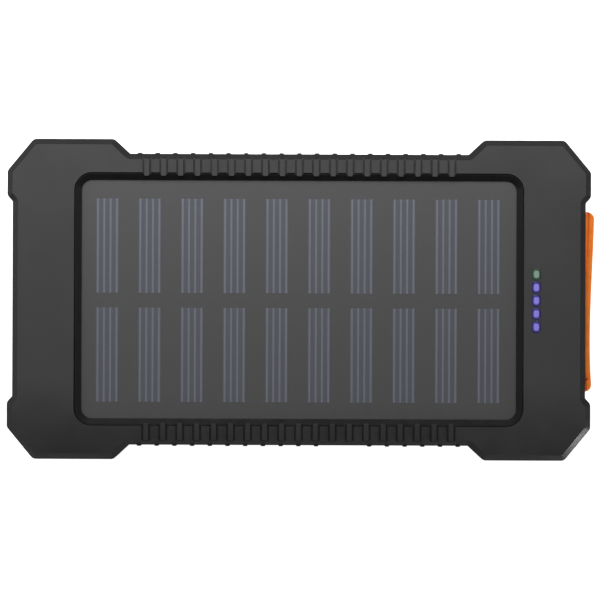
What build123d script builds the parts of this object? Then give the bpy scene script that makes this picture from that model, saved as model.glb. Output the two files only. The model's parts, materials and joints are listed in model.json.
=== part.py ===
from build123d import *
from math import radians, tan
import os

# Rugged solar phone charger. Units are millimetres.
# The charger lies on its back: +Z points out of the solar face, +X towards the charging ports
# and the origin is the middle of the flat back face.

os.makedirs("parts", exist_ok=True)

# ---------------------------------------------------------------- driving dimensions: casing
bumper_length = 142.0  # over the corner bumpers, along X
bumper_width = 77.9  # over the corner bumpers, along Y
end_bumper_rise = 1.3  # how far the bumpers stand out of the end walls
side_bumper_rise = 3.55  # and out of the side walls
wall = 1.8
port_wall = 2.6  # the end wall that carries the charging ports
parting_z = 7.75  # where the two shells meet
corner_cut_x = 6.4  # each bumper's corner is cut off at an angle
corner_cut_y = 7.75
side_bumper_length = 26.0  # the flat of a bumper and its cut corner, along X
side_bumper_ramp = 3.8
end_bumper_length = 13.85  # the same, along Y
end_bumper_ramp = 1.4
rim_width = 1.4  # bevel round the front and back faces, seen from above
rim_drop = 1.8
corner_radius = rim_width + 0.2  # wider than the bevel, so that its corners stay round
waist_radius = 0.4  # of the inside corners at the feet of the bumpers
lip_height = 1.0  # locating lip between the two shells
lip_inset = 1.0
fit_gap = 0.1  # between pieces that are fixed together
slip_gap = 0.2  # round pieces that move

# ---------------------------------------------------------------- driving dimensions: grips
grip_count = 19
rib_margin = 4.165  # from the bumpers' ramps to the first rib across the front edge
rib_width = 1.2
rib_rise = 0.3
rib_outer_inset = 0.95  # from the waist's side wall to the rib's outer end
rib_overhang = 0.6  # how far a rib reaches over the panel's bezel
groove_width = 0.45
groove_depth = 0.5
recess_bevel = 0.25  # where the front face meets the bezel
tooth_margin = 2.41  # from the bumpers' ramps to the first tooth down the side wall
tooth_width = 1.1
tooth_rise = 0.28

# ---------------------------------------------------------------- driving dimensions: panel
bezel_end_margin = 15.4  # from the end walls to the bezel
bezel_side_margin = 4.95
bezel_radius = 4.0
bezel_band = 1.5
bezel_edge = 0.12  # thickness at the bezel's inner edge
panel_depth = 0.7  # from the front face down to the film
film_thickness = 0.3
cell_thickness = 0.2
backplane_thickness = 0.8
tape_thickness = 0.3
tape_width = 5.0
pocket_floor = 1.1
pocket_wall = 1.6
bezel_seat = 0.35  # ledge that carries the bezel outside the laminate
cell_columns = 10
cell_rows = 2
cell_width = 5.5
cell_end_margin = 4.65  # from the laminate's edge to the first cell
cell_side_margin = 5.2
cell_row_gap = 3.6
cell_shift = (-0.25, -0.25)  # the strips are laid a little off the middle

# ---------------------------------------------------------------- driving dimensions: lights
light_from_end = 12.05  # from the port end wall
light_pitch = 3.2
light_count = 5
light_width = 2.05
light_length = 2.8
light_flange = 0.45
light_flange_height = 0.7
indicator_led_height = 0.6
indicator_board_length = 21.0
indicator_board_width = 5.6
indicator_board_thickness = 0.8
indicator_post_diameter = 2.4
indicator_pin_diameter = 1.2
indicator_post_inset = 1.3  # from the ends of the indicator board
indicator_board_shift = 1.0  # the board's middle lies this far beyond the lights

# ---------------------------------------------------------------- driving dimensions: battery
battery_corner = 2.5
battery_end_gap = 1.7  # from the far end wall
battery_board_gap = 4.6  # from the main board, room for the protection board
battery_top_gap = 1.75  # from the side wall away from the button
battery_arm_gap = 0.7  # from the board's arm
lower_foam_thickness = 0.4
upper_foam_thickness = 0.6
protection_board_length = 30.0
protection_board_width = 3.5
protection_board_thickness = 0.8
foam_inset = 6.0  # from the battery's edges

# ---------------------------------------------------------------- driving dimensions: board
board_thickness = 1.0
board_height = 2.05  # underside of the board above the inside of the back
board_length = 22.6  # the wide area behind the ports, along X
board_top_gap = 8.55  # from the side wall away from the button
board_side_gap = 1.95  # from the side wall beside the button
arm_width = 3.6
arm_past_button = 7.7  # the arm ends this far beyond the middle of the button
board_post_diameter = 4.0
board_screw_diameter = 1.4
board_screw_head = 3.0
board_screw_head_height = 0.9
board_screw_x_insets = (3.0, 6.0)  # from the wide area's inner and outer edges
board_screw_top_inset = 2.4
board_screw_bottom_inset = 10.1
component_inset = 7.0  # from the board's inner edge to the inductor and the chips
inductor_y = 14.5
inductor_size = 6.6
inductor_corner = 1.2
inductor_height = 3.0
inductor_edge = 0.5
chip_length = 4.9
chip_width = 3.9
chip_height = 1.4
chip_y_spots = (-2.5, -9.5)
capacitor_shifts = (4.2, 8.2, 12.2)  # beyond the inductor, along X
capacitor_y = -26.0
capacitor_width = 1.6
capacitor_length = 3.2

# ---------------------------------------------------------------- driving dimensions: ports
usb_inner_width = 12.5
usb_inner_height = 5.12
usb_shell_wall = 0.3
usb_depth = 14.0
usb_tongue_width = 11.1
usb_tongue_thickness = 1.84
usb_tongue_above = 0.72
usb_tongue_setback = 1.3
usb_back_depth = 4.0
usb_y_spots = (13.2, -2.2)
contact_shifts = (-3.5, -1.0, 1.0, 3.5)  # from the middle of the tongue
contact_length = 8.0
contact_width = 1.0
contact_thickness = 0.2
micro_width = 7.5
micro_height = 2.9
micro_wall = 0.25
micro_depth = 5.5
micro_corner = 0.9
micro_tongue_width = 3.9
micro_tongue_thickness = 0.6
micro_tongue_setback = 1.2
micro_back_depth = 1.4
micro_y = -13.4

port_head_gap = 0.53  # from the USB shells up to the indicator board
flap_lift = 0.04  # middle of the flap above the middle of the USB ports

# ---------------------------------------------------------------- driving dimensions: port flap
flap_top_y = 21.65
flap_bottom_y = -22.15
flap_height = 10.0
flap_pad_height = 9.2
flap_step_x = 0.6  # the base's outer face stands this far out of the waist's end wall
flap_face_rises = (1.75, 1.35, 1.85, 2.25)  # outer face beyond the end wall, hinge end to free end
flap_face_y_spots = (-22.05, -3.5, 10.0, 21.55)
flap_end_radius = 1.8
flap_edge_radius = 0.45
flap_recess = 0.8
hinge_y = -19.0
hinge_gap = 0.3
usb_plug_depth = 1.1
micro_plug_depth = 0.9
plug_gap = 0.5
plug_taper = 5  # degrees
usb_plug_corner = 1.0
micro_plug_corner = 0.6
anchor_stem_width = 1.6
anchor_stem_height = 4.2
anchor_head_width = 3.8
anchor_head_depth = 1.7

# ---------------------------------------------------------------- driving dimensions: button
button_x = 10.7
button_width = 8.2
button_height = 4.4
button_radius = 1.2
button_edge = 0.3
button_sink = 0.05  # the cap's face lies this far inside the side wall
button_travel = 0.5
button_flange = 0.8
button_flange_thickness = 0.85
plunger_width = 3.0
plunger_height = 1.6
plunger_reach = 1.9
switch_width = 6.0
switch_depth = 2.7
switch_height = 4.4

# ---------------------------------------------------------------- driving dimensions: torch
torch_from_end = 14.2  # from the port end wall
torch_length = 24.0
torch_width = 9.0
torch_lens_thickness = 1.0
torch_lens_sink = 0.15
torch_ledge = 1.2
torch_led_spacing = 11.0
torch_led_size = 3.0
torch_led_height = 0.8
torch_cup_mouth = 5.6
torch_cup_taper = 28  # degrees

# ---------------------------------------------------------------- driving dimensions: screws
screw_from_end = 15.0  # from the bumper's end face to the screw
screw_from_side = 3.85
screw_diameter = 2.2
screw_head_diameter = 4.0
screw_head_height = 1.3
boss_diameter = 5.4
screw_hole_gap = 0.15
screw_end_gap = 1.2  # solid plastic above the end of the screw
recess_width = 0.7
recess_length = 2.4
recess_depth = 0.7
screw_head_edge = 0.4

# ---------------------------------------------------------------- driving dimensions: leads
lead_diameter = 1.1
battery_lead_y = (2.0, 5.0)
solar_lead_y = (-17.6, -15.0)
solar_lead_gap = 2.8  # from the board's edge to where the leads come down
solar_lead_shift = 2.2
solar_lead_drop = 1.4  # straight run below the pocket's floor
solar_lead_rise = 2.6  # straight run above the board
battery_lead_bends = (0.0, 1.7, 3.4)  # from the board's edge to each bend and the end
bend_share = 0.3  # of the shorter run, taken up by a bend

# ---------------------------------------------------------------- heights
# The thickness of the casing is the stack at the port end: wall, board, ports, indicator board,
# its lights and wall.
inside_back_z = wall
board_z = inside_back_z + board_height
board_top_z = board_z + board_thickness
usb_shell_height = usb_inner_height + 2 * usb_shell_wall
usb_shell_width = usb_inner_width + 2 * usb_shell_wall
usb_z = board_top_z + usb_shell_height / 2
micro_z = board_top_z + micro_height / 2
indicator_board_z = board_top_z + usb_shell_height + port_head_gap
indicator_board_top_z = indicator_board_z + indicator_board_thickness
inside_front_z = indicator_board_top_z + slip_gap + indicator_led_height + light_flange_height
casing_height = inside_front_z + wall
film_top_z = casing_height - panel_depth
film_z = film_top_z - film_thickness
cell_z = film_z - cell_thickness
backplane_z = cell_z - backplane_thickness
pocket_z = backplane_z - tape_thickness
pocket_under_z = pocket_z - pocket_floor
screw_seat_z = wall

battery_thickness = (
    pocket_under_z - inside_back_z - lower_foam_thickness - upper_foam_thickness
) / 2

# ---------------------------------------------------------------- places in plan
waist_length = bumper_length - 2 * end_bumper_rise
waist_width = bumper_width - 2 * side_bumper_rise
bumper_foot_x = bumper_length / 2 - side_bumper_length - side_bumper_ramp
rib_pitch = 2 * (bumper_foot_x - rib_margin) / (grip_count - 1)
tooth_pitch = 2 * (bumper_foot_x - tooth_margin) / (grip_count - 1)
bezel_length = waist_length - 2 * bezel_end_margin
bezel_width = waist_width - 2 * bezel_side_margin
end_wall_x = waist_length / 2
inside_port_x = end_wall_x - port_wall
recess_floor_x = end_wall_x - flap_recess
side_wall_y = waist_width / 2
inside_side_y = side_wall_y - wall
port_mouth_x = recess_floor_x - slip_gap
board_end_x = inside_port_x - 3 * fit_gap
board_start_x = board_end_x - board_length
board_bottom_y = -inside_side_y + board_side_gap
board_top_y = inside_side_y - board_top_gap
battery_start_x = -end_wall_x + wall + battery_end_gap
battery_end_x = board_start_x - battery_board_gap
battery_length = battery_end_x - battery_start_x
battery_top_y = inside_side_y - battery_top_gap
battery_width = battery_top_y - board_bottom_y - arm_width - battery_arm_gap
battery_x = battery_start_x + battery_length / 2
battery_y = battery_top_y - battery_width / 2
pocket_length = bezel_length - 2 * bezel_seat
pocket_width = bezel_width - 2 * bezel_seat
pocket_radius = bezel_radius - bezel_seat
laminate_length = pocket_length - 2 * slip_gap
laminate_width = pocket_width - 2 * slip_gap
laminate_radius = pocket_radius - slip_gap
cell_pitch_x = (laminate_length - 2 * cell_end_margin - cell_width) / (cell_columns - 1)
cell_length = (laminate_width - 2 * cell_side_margin - cell_row_gap) / cell_rows
screw_x = bumper_length / 2 - screw_from_end
screw_y = bumper_width / 2 - screw_from_side
screw_spots = [(x, y) for x in (-screw_x, screw_x) for y in (-screw_y, screw_y)]
board_screw_spots = [
    (x, y)
    for x in (board_start_x + board_screw_x_insets[0], board_end_x - board_screw_x_insets[1])
    for y in (board_top_y - board_screw_top_inset, board_bottom_y + board_screw_bottom_inset)
]
light_x = end_wall_x - light_from_end
torch_x = end_wall_x - torch_from_end
solar_lead_x = board_start_x + solar_lead_gap
indicator_board_x = light_x + indicator_board_shift
light_spots = [(light_x, (light_count // 2 - i) * light_pitch) for i in range(light_count)]
indicator_post_y = indicator_board_length / 2 - indicator_post_inset
indicator_post_spots = [(indicator_board_x, y) for y in (indicator_post_y, -indicator_post_y)]
flap_centre_z = usb_z + flap_lift
flap_inner_x = recess_floor_x + fit_gap
flap_base_x = end_wall_x + flap_step_x
anchor_y = (flap_bottom_y + hinge_y) / 2
grip_half_span = (grip_count - 1) / 2
rib_spots = [(i - grip_half_span) * rib_pitch for i in range(grip_count)]
tooth_spots = [(i - grip_half_span) * tooth_pitch for i in range(grip_count)]


def finish(part, label):
    """Name one finished piece and write its STEP file."""
    part.label = label
    export_step(part, f"parts/{label}.step")


def beside_button(x):
    """True where a side tooth would run into the power button's window."""
    return abs(x - button_x) < button_width / 2 + slip_gap + tooth_width


# ---------------------------------------------------------------- shared outline
def is_corner(vertex):
    """False at the middles of the four waist walls, where the mirrored quarters meet."""
    return abs(vertex.X) > wall and abs(vertex.Y) > wall


def on_waist(vertex, inset):
    """True for the corners at the feet of the bumpers, which lie on the waist's walls."""
    return (
        abs(abs(vertex.X) - waist_length / 2 + inset) < fit_gap
        or abs(abs(vertex.Y) - waist_width / 2 + inset) < fit_gap
    )


def casing_outline(inset):
    """The waisted outline with its four angular bumpers, moved inwards and then rounded.

    One quarter is drawn and mirrored to the other three.
    """
    with BuildSketch() as outline:
        with BuildLine():
            Polyline(
                (waist_length / 2, 0),
                (waist_length / 2, bumper_width / 2 - end_bumper_length - end_bumper_ramp),
                (bumper_length / 2, bumper_width / 2 - end_bumper_length),
                (bumper_length / 2, bumper_width / 2 - corner_cut_y),
                (bumper_length / 2 - corner_cut_x, bumper_width / 2),
                (bumper_length / 2 - side_bumper_length, bumper_width / 2),
                (bumper_foot_x, waist_width / 2),
                (0, waist_width / 2),
            )
            mirror(about=Plane.YZ)
            mirror(about=Plane.XZ)
        make_face()
        if inset > 0:
            offset(amount=-inset, kind=Kind.INTERSECTION, mode=Mode.REPLACE)
        corners = outline.vertices().filter_by(is_corner)
        fillet(
            [v for v in corners if not on_waist(v, inset)],
            max(corner_radius - inset, rim_width / 4),
        )
        corners = outline.vertices().filter_by(is_corner)
        fillet([v for v in corners if on_waist(v, inset)], waist_radius)
    return outline.sketch


casing_plan = casing_outline(0)

with BuildSketch() as cavity_plan:
    add(casing_outline(wall))
    with Locations((inside_port_x + port_wall, 0)):
        Rectangle(2 * port_wall, bumper_width, mode=Mode.SUBTRACT)

with BuildSketch() as lip_plan:
    add(casing_outline(lip_inset))
    add(casing_outline(wall), mode=Mode.SUBTRACT)

with BuildSketch() as lip_groove_plan:
    add(casing_outline(lip_inset - fit_gap))
    add(casing_outline(wall + fit_gap), mode=Mode.SUBTRACT)

with BuildSketch(Plane.XY.offset(parting_z)) as teeth_plan:
    with Locations(*[(x, side_wall_y) for x in tooth_spots]):
        Rectangle(tooth_width, 2 * tooth_rise)
    with Locations(*[(x, -side_wall_y) for x in tooth_spots if not beside_button(x)]):
        Rectangle(tooth_width, 2 * tooth_rise)
    fillet(
        teeth_plan.vertices().filter_by(lambda v: abs(v.Y) > side_wall_y), 0.8 * tooth_rise
    )

# A fine groove runs down each side of every grip rib, on the front and, without ribs, on the back.
rib_length = side_wall_y - rib_outer_inset - bezel_width / 2
rib_row_spacing = bezel_width + rib_length
with BuildSketch() as rib_grooves:
    for groove_shift in (-(rib_width + groove_width) / 2, (rib_width + groove_width) / 2):
        with Locations((groove_shift, 0)):
            with GridLocations(rib_pitch, rib_row_spacing, grip_count, 2):
                Rectangle(groove_width, rib_length)

# Everything that is cut through both shells from the outside: the flap's recess, the port
# windows, the slot for the flap's anchor and the power button's window.
with BuildPart() as wall_cuts:
    recess_top_y = flap_top_y + slip_gap
    recess_bottom_y = flap_bottom_y - fit_gap
    with Locations((end_wall_x, (recess_top_y + recess_bottom_y) / 2, flap_centre_z)):
        Box(2 * flap_recess, recess_top_y - recess_bottom_y, flap_height + 2 * slip_gap)
    with Locations(*[(end_wall_x, y, usb_z) for y in usb_y_spots]):
        Box(2 * port_wall, usb_shell_width + 2 * fit_gap, usb_shell_height + 2 * fit_gap)
    with Locations((end_wall_x, micro_y, micro_z)):
        Box(2 * port_wall, micro_width + 2 * fit_gap, micro_height + 2 * fit_gap)
    with Locations((end_wall_x, anchor_y, flap_centre_z)):
        Box(2 * port_wall, anchor_stem_width + 2 * fit_gap, anchor_stem_height + 2 * fit_gap)
    with BuildSketch(Plane.XZ.offset(side_wall_y - wall - 1)):
        with Locations((button_x, parting_z)):
            RectangleRounded(
                button_width + 2 * slip_gap, button_height + 2 * slip_gap, button_radius + slip_gap
            )
    extrude(amount=wall + 2)

# ---------------------------------------------------------------- front shell
with BuildPart() as front_shell:
    with BuildSketch(Plane.XY.offset(parting_z)):
        add(casing_plan)
    extrude(amount=casing_height - parting_z)
    front_face = front_shell.faces().sort_by(Axis.Z)[-1]
    chamfer(front_face.edges(), length=rim_width, length2=rim_drop, reference=front_face)
    add(extrude(teeth_plan.sketch, amount=inside_front_z - parting_z, mode=Mode.PRIVATE))
    with BuildSketch(Plane.XY.offset(parting_z)):
        add(cavity_plan.sketch)
    extrude(amount=inside_front_z - parting_z, mode=Mode.SUBTRACT)
    with BuildSketch(Plane.XY.offset(pocket_under_z)):
        RectangleRounded(
            pocket_length + 2 * pocket_wall, pocket_width + 2 * pocket_wall, bezel_radius
        )
    extrude(amount=inside_front_z - pocket_under_z)
    with BuildSketch(Plane.XY.offset(pocket_z)):
        RectangleRounded(pocket_length, pocket_width, pocket_radius)
    extrude(amount=panel_depth + casing_height - pocket_z, mode=Mode.SUBTRACT)
    with BuildSketch(Plane.XY.offset(film_top_z)):
        RectangleRounded(
            bezel_length + 2 * fit_gap, bezel_width + 2 * fit_gap, bezel_radius + fit_gap
        )
    extrude(amount=2 * panel_depth, mode=Mode.SUBTRACT)
    bevel_reach = 2 * (fit_gap + recess_bevel)
    with BuildSketch(Plane.XY.offset(casing_height)):
        RectangleRounded(
            bezel_length + bevel_reach, bezel_width + bevel_reach, bezel_radius + bevel_reach / 2
        )
    extrude(amount=-recess_bevel, taper=45, mode=Mode.SUBTRACT)
    with BuildSketch(Plane.XY.offset(casing_height)):
        add(rib_grooves.sketch)
    extrude(amount=-groove_depth, mode=Mode.SUBTRACT)
    with BuildSketch(*[Plane.YZ.offset(x) for x in rib_spots]):
        with BuildLine():
            rib_top_z = casing_height + rib_rise
            rib_inner_y = bezel_width / 2 - rib_overhang
            rib_root_y = bezel_width / 2 + 2 * fit_gap
            rib_outer_y = side_wall_y - rib_outer_inset
            Polyline(
                (rib_inner_y, casing_height - fit_gap / 2),
                (rib_inner_y, rib_top_z - rib_rise / 2),
                (rib_inner_y + rib_rise / 2, rib_top_z),
                (rib_outer_y - rib_rise, rib_top_z),
                (rib_outer_y, rib_top_z - rib_rise),
                (rib_outer_y, casing_height - 2 * groove_depth),
                (rib_root_y, casing_height - 2 * groove_depth),
                (rib_root_y, casing_height - fit_gap / 2),
                close=True,
            )
        make_face()
        mirror(about=Plane.YZ)
    extrude(amount=rib_width / 2, both=True)
    with BuildSketch(Plane.XY.offset(parting_z)):
        with Locations(*screw_spots):
            Circle(boss_diameter / 2)
    extrude(amount=inside_front_z - parting_z)
    with BuildSketch(Plane.XY.offset(parting_z)):
        with Locations(*screw_spots):
            Circle(screw_diameter / 2)
    extrude(amount=inside_front_z - screw_end_gap - parting_z, mode=Mode.SUBTRACT)
    with BuildSketch(Plane.XY.offset(parting_z)):
        add(lip_groove_plan.sketch)
    extrude(amount=lip_height + fit_gap, mode=Mode.SUBTRACT)
    with BuildSketch(Plane.XY.offset(inside_front_z)):
        with Locations(*light_spots):
            RectangleRounded(light_width + fit_gap, light_length + fit_gap, light_width / 3)
    extrude(amount=wall, mode=Mode.SUBTRACT)
    with BuildSketch(Plane.XY.offset(indicator_board_top_z)):
        with Locations(*indicator_post_spots):
            Circle(indicator_post_diameter / 2)
    extrude(amount=inside_front_z - indicator_board_top_z)
    with BuildSketch(Plane.XY.offset(indicator_board_top_z - indicator_board_thickness)):
        with Locations(*indicator_post_spots):
            Circle(indicator_pin_diameter / 2)
    extrude(amount=2 * indicator_board_thickness)
    with BuildSketch(Plane.XY.offset(pocket_under_z)):
        with Locations((solar_lead_x, sum(solar_lead_y) / 2)):
            SlotOverall(
                abs(solar_lead_y[1] - solar_lead_y[0]) + 2 * lead_diameter,
                2 * lead_diameter,
                rotation=90,
            )
    extrude(amount=pocket_floor, mode=Mode.SUBTRACT)
    add(wall_cuts.part, mode=Mode.SUBTRACT)
finish(front_shell.part, "front_shell")

# ---------------------------------------------------------------- rear shell
with BuildPart() as rear_shell:
    with BuildSketch(Plane.XY):
        add(casing_plan)
    extrude(amount=parting_z)
    back_face = rear_shell.faces().sort_by(Axis.Z)[0]
    chamfer(back_face.edges(), length=rim_width, length2=rim_drop, reference=back_face)
    with BuildSketch(Plane.XY):
        add(rib_grooves.sketch)
    extrude(amount=groove_depth, mode=Mode.SUBTRACT)
    add(extrude(teeth_plan.sketch, amount=rim_drop - parting_z, mode=Mode.PRIVATE))
    with BuildSketch(Plane.XY.offset(inside_back_z)):
        add(cavity_plan.sketch)
    extrude(amount=parting_z - inside_back_z, mode=Mode.SUBTRACT)
    with BuildSketch(Plane.XY.offset(parting_z)):
        add(lip_plan.sketch)
    extrude(amount=lip_height)
    with BuildSketch(Plane.XY.offset(inside_back_z)):
        with Locations(*screw_spots):
            Circle(boss_diameter / 2)
    extrude(amount=parting_z - inside_back_z)
    with Locations(Plane(origin=(0, 0, 0), x_dir=(1, 0, 0), z_dir=(0, 0, -1))):
        with Locations(*screw_spots):
            CounterBoreHole(
                radius=screw_diameter / 2 + screw_hole_gap,
                counter_bore_radius=screw_head_diameter / 2 + slip_gap,
                counter_bore_depth=screw_seat_z,
                depth=parting_z,
            )
    with BuildSketch(Plane.XY.offset(inside_back_z)):
        with Locations(*board_screw_spots):
            Circle(board_post_diameter / 2)
    extrude(amount=board_height)
    with BuildSketch(Plane.XY.offset(board_z)):
        with Locations(*board_screw_spots):
            Circle(board_screw_diameter / 2)
    extrude(amount=-board_height, mode=Mode.SUBTRACT)
    with BuildSketch(Plane.XY):
        with Locations((torch_x, 0)):
            SlotOverall(torch_length + 2 * fit_gap, torch_width + 2 * fit_gap, rotation=90)
    extrude(amount=torch_lens_sink + torch_lens_thickness, mode=Mode.SUBTRACT)
    with BuildSketch(Plane.XY):
        with Locations((torch_x, 0)):
            SlotOverall(torch_length - 2 * torch_ledge, torch_width - 2 * torch_ledge, rotation=90)
    extrude(amount=wall, mode=Mode.SUBTRACT)
    add(wall_cuts.part, mode=Mode.SUBTRACT)
finish(rear_shell.part, "rear_shell")

# ---------------------------------------------------------------- panel bezel
# A glossy frame whose top slopes from the casing's edge down to the panel.
with BuildPart() as panel_bezel:
    bezel_top_z = casing_height - fit_gap
    with BuildSketch(Plane.XY.offset(film_top_z)):
        RectangleRounded(bezel_length, bezel_width, bezel_radius)
    extrude(amount=bezel_top_z - film_top_z)
    with BuildSketch(Plane.XY.offset(film_top_z)):
        RectangleRounded(
            bezel_length - 2 * bezel_band, bezel_width - 2 * bezel_band, bezel_radius - bezel_band
        )
    extrude(amount=panel_depth, mode=Mode.SUBTRACT)
    with BuildSketch(Plane.XY.offset(film_top_z + bezel_edge)) as slope_low:
        RectangleRounded(
            bezel_length - 2 * bezel_band, bezel_width - 2 * bezel_band, bezel_radius - bezel_band
        )
    with BuildSketch(Plane.XY.offset(bezel_top_z)) as slope_high:
        RectangleRounded(
            bezel_length - bezel_edge, bezel_width - bezel_edge, bezel_radius - bezel_edge / 2
        )
    loft(sections=[slope_low.sketch, slope_high.sketch], mode=Mode.SUBTRACT)
finish(panel_bezel.part, "panel_bezel")

# ---------------------------------------------------------------- solar panel laminate
with BuildPart() as solar_film:
    with BuildSketch(Plane.XY.offset(film_z)):
        RectangleRounded(laminate_length, laminate_width, laminate_radius)
    extrude(amount=film_thickness)
finish(solar_film.part, "solar_film")

with BuildPart() as solar_cells:
    with BuildSketch(Plane.XY.offset(cell_z)):
        with Locations(cell_shift):
            with GridLocations(cell_pitch_x, cell_length + cell_row_gap, cell_columns, cell_rows):
                Rectangle(cell_width, cell_length)
    extrude(amount=cell_thickness)
finish(solar_cells.part, "solar_cells")

with BuildPart() as solar_backplane:
    with BuildSketch(Plane.XY.offset(backplane_z)):
        RectangleRounded(laminate_length, laminate_width, laminate_radius)
    extrude(amount=backplane_thickness)
finish(solar_backplane.part, "solar_backplane")

with BuildPart() as panel_tape:
    with BuildSketch(Plane.XY.offset(pocket_z)):
        RectangleRounded(laminate_length, laminate_width, laminate_radius)
        Rectangle(
            laminate_length - 2 * tape_width, laminate_width - 2 * tape_width, mode=Mode.SUBTRACT
        )
    extrude(amount=tape_thickness)
finish(panel_tape.part, "panel_tape")

# ---------------------------------------------------------------- indicator lights
def light_pipes(spots):
    """Clear plastic light pipes: a rounded head in the front face on a wider flange."""
    with BuildPart() as pipes:
        with BuildSketch(Plane.XY.offset(inside_front_z)):
            with Locations(*spots):
                RectangleRounded(light_width, light_length, light_width / 3)
        extrude(amount=wall)
        fillet(pipes.faces().group_by(Axis.Z)[-1].edges(), fit_gap)
        with BuildSketch(Plane.XY.offset(inside_front_z)):
            with Locations(*spots):
                Rectangle(light_width + 2 * light_flange, light_pitch - slip_gap)
        extrude(amount=-light_flange_height)
    return pipes.part


finish(light_pipes(light_spots[:1]), "charge_light_pipe")
finish(light_pipes(light_spots[1:]), "level_light_pipes")

with BuildPart() as indicator_leds:
    with BuildSketch(Plane.XY.offset(indicator_board_top_z)):
        with Locations(*light_spots):
            Rectangle(light_width / 2, light_width)
    extrude(amount=indicator_led_height)
finish(indicator_leds.part, "indicator_leds")

with BuildPart() as indicator_board:
    with BuildSketch(Plane.XY.offset(indicator_board_top_z)):
        with Locations((indicator_board_x, 0)):
            Rectangle(indicator_board_width, indicator_board_length)
        with Locations(*indicator_post_spots):
            Circle(indicator_pin_diameter / 2 + fit_gap, mode=Mode.SUBTRACT)
    extrude(amount=-indicator_board_thickness)
finish(indicator_board.part, "indicator_board")

# ---------------------------------------------------------------- battery
def pouch_cell(bottom_z):
    """One lithium polymer pouch cell with soft rounded edges."""
    with BuildPart() as cell:
        with BuildSketch(Plane.XY.offset(bottom_z)):
            with Locations((battery_x, battery_y)):
                RectangleRounded(battery_length, battery_width, battery_corner)
        extrude(amount=battery_thickness)
        fillet(cell.faces().filter_by(Axis.Z).edges(), battery_thickness / 5)
    return cell.part


battery_z = inside_back_z + lower_foam_thickness
battery_top_z = battery_z + 2 * battery_thickness
finish(pouch_cell(battery_z), "lower_battery_cell")
finish(pouch_cell(battery_z + battery_thickness), "upper_battery_cell")

with BuildPart() as battery_foam:
    with BuildSketch(Plane.XY.offset(inside_back_z)):
        with Locations((battery_x, battery_y)):
            Rectangle(battery_length - 2 * foam_inset, battery_width - 2 * foam_inset)
    extrude(amount=lower_foam_thickness)
    with BuildSketch(Plane.XY.offset(battery_top_z)):
        with Locations((battery_x, battery_y)):
            Rectangle(battery_length - 2 * foam_inset, battery_width - 2 * foam_inset)
    extrude(amount=pocket_under_z - battery_top_z)
finish(battery_foam.part, "battery_foam_pads")

protection_board_z = battery_z + battery_thickness
with BuildPart() as protection_board:
    with BuildSketch(Plane.XY.offset(protection_board_z)):
        with Locations((battery_end_x + 2 * fit_gap + protection_board_width / 2, 0)):
            Rectangle(protection_board_width, protection_board_length)
    extrude(amount=protection_board_thickness)
finish(protection_board.part, "battery_protection_board")

# ---------------------------------------------------------------- main circuit board
with BuildPart() as main_board:
    with BuildSketch(Plane.XY.offset(board_z)):
        with Locations((board_start_x, board_bottom_y)):
            Rectangle(board_length, board_top_y - board_bottom_y, align=(Align.MIN, Align.MIN))
        with Locations((board_start_x, board_bottom_y)):
            Rectangle(
                board_start_x - button_x + arm_past_button, arm_width, align=(Align.MAX, Align.MIN)
            )
        with Locations(*board_screw_spots):
            Circle(board_screw_diameter / 2 + slip_gap, mode=Mode.SUBTRACT)
    extrude(amount=board_thickness)
finish(main_board.part, "main_board")

with BuildPart() as board_screws:
    with BuildSketch(Plane.XY.offset(board_top_z)):
        with Locations(*board_screw_spots):
            Circle(board_screw_head / 2)
    extrude(amount=board_screw_head_height)
    with BuildSketch(Plane.XY.offset(board_top_z)):
        with Locations(*board_screw_spots):
            Circle(board_screw_diameter / 2)
    extrude(amount=slip_gap - board_thickness - board_height)
finish(board_screws.part, "board_screws")

component_x = board_start_x + component_inset
with BuildPart() as power_inductor:
    with BuildSketch(Plane.XY.offset(board_top_z)):
        with Locations((component_x, inductor_y)):
            RectangleRounded(inductor_size, inductor_size, inductor_corner)
    extrude(amount=inductor_height)
    fillet(power_inductor.faces().sort_by(Axis.Z)[-1].edges(), inductor_edge)
finish(power_inductor.part, "power_inductor")

with BuildPart() as power_chips:
    with BuildSketch(Plane.XY.offset(board_top_z)):
        with Locations(*[(component_x, y) for y in chip_y_spots]):
            Rectangle(chip_length, chip_width)
    extrude(amount=chip_height)
finish(power_chips.part, "power_chips")

with BuildPart() as board_capacitors:
    with BuildSketch(Plane.XY.offset(board_top_z)):
        with Locations(*[(component_x + shift, capacitor_y) for shift in capacitor_shifts]):
            Rectangle(capacitor_width, capacitor_length)
    extrude(amount=capacitor_width)
finish(board_capacitors.part, "board_capacitors")

# ---------------------------------------------------------------- charging ports
def usb_shell(y):
    """The folded steel shell of one full-size output port, open at the front."""
    with BuildPart() as shell:
        with BuildSketch(Plane.YZ.offset(port_mouth_x - usb_depth)):
            with Locations((y, usb_z)):
                RectangleRounded(usb_shell_width, usb_shell_height, 2 * usb_shell_wall)
                RectangleRounded(
                    usb_inner_width, usb_inner_height, usb_shell_wall, mode=Mode.SUBTRACT
                )
        extrude(amount=usb_depth)
    return shell.part


def usb_core(y):
    """The moulded core of one output port: a back block with the contact tongue."""
    tongue_z = usb_z + usb_inner_height / 2 - usb_tongue_above - usb_tongue_thickness / 2
    with BuildPart() as core:
        with BuildSketch(Plane.YZ.offset(port_mouth_x - usb_depth)):
            with Locations((y, usb_z)):
                Rectangle(usb_inner_width - 2 * fit_gap, usb_inner_height - 2 * fit_gap)
        extrude(amount=usb_back_depth)
        with BuildSketch(Plane.YZ.offset(port_mouth_x - usb_depth)):
            with Locations((y, tongue_z)):
                Rectangle(usb_tongue_width, usb_tongue_thickness)
        extrude(amount=usb_depth - usb_tongue_setback)
    return core.part


for number, port_y in enumerate(usb_y_spots, start=1):
    finish(usb_shell(port_y), f"usb_port_{number}_shell")
    finish(usb_core(port_y), f"usb_port_{number}_core")

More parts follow.
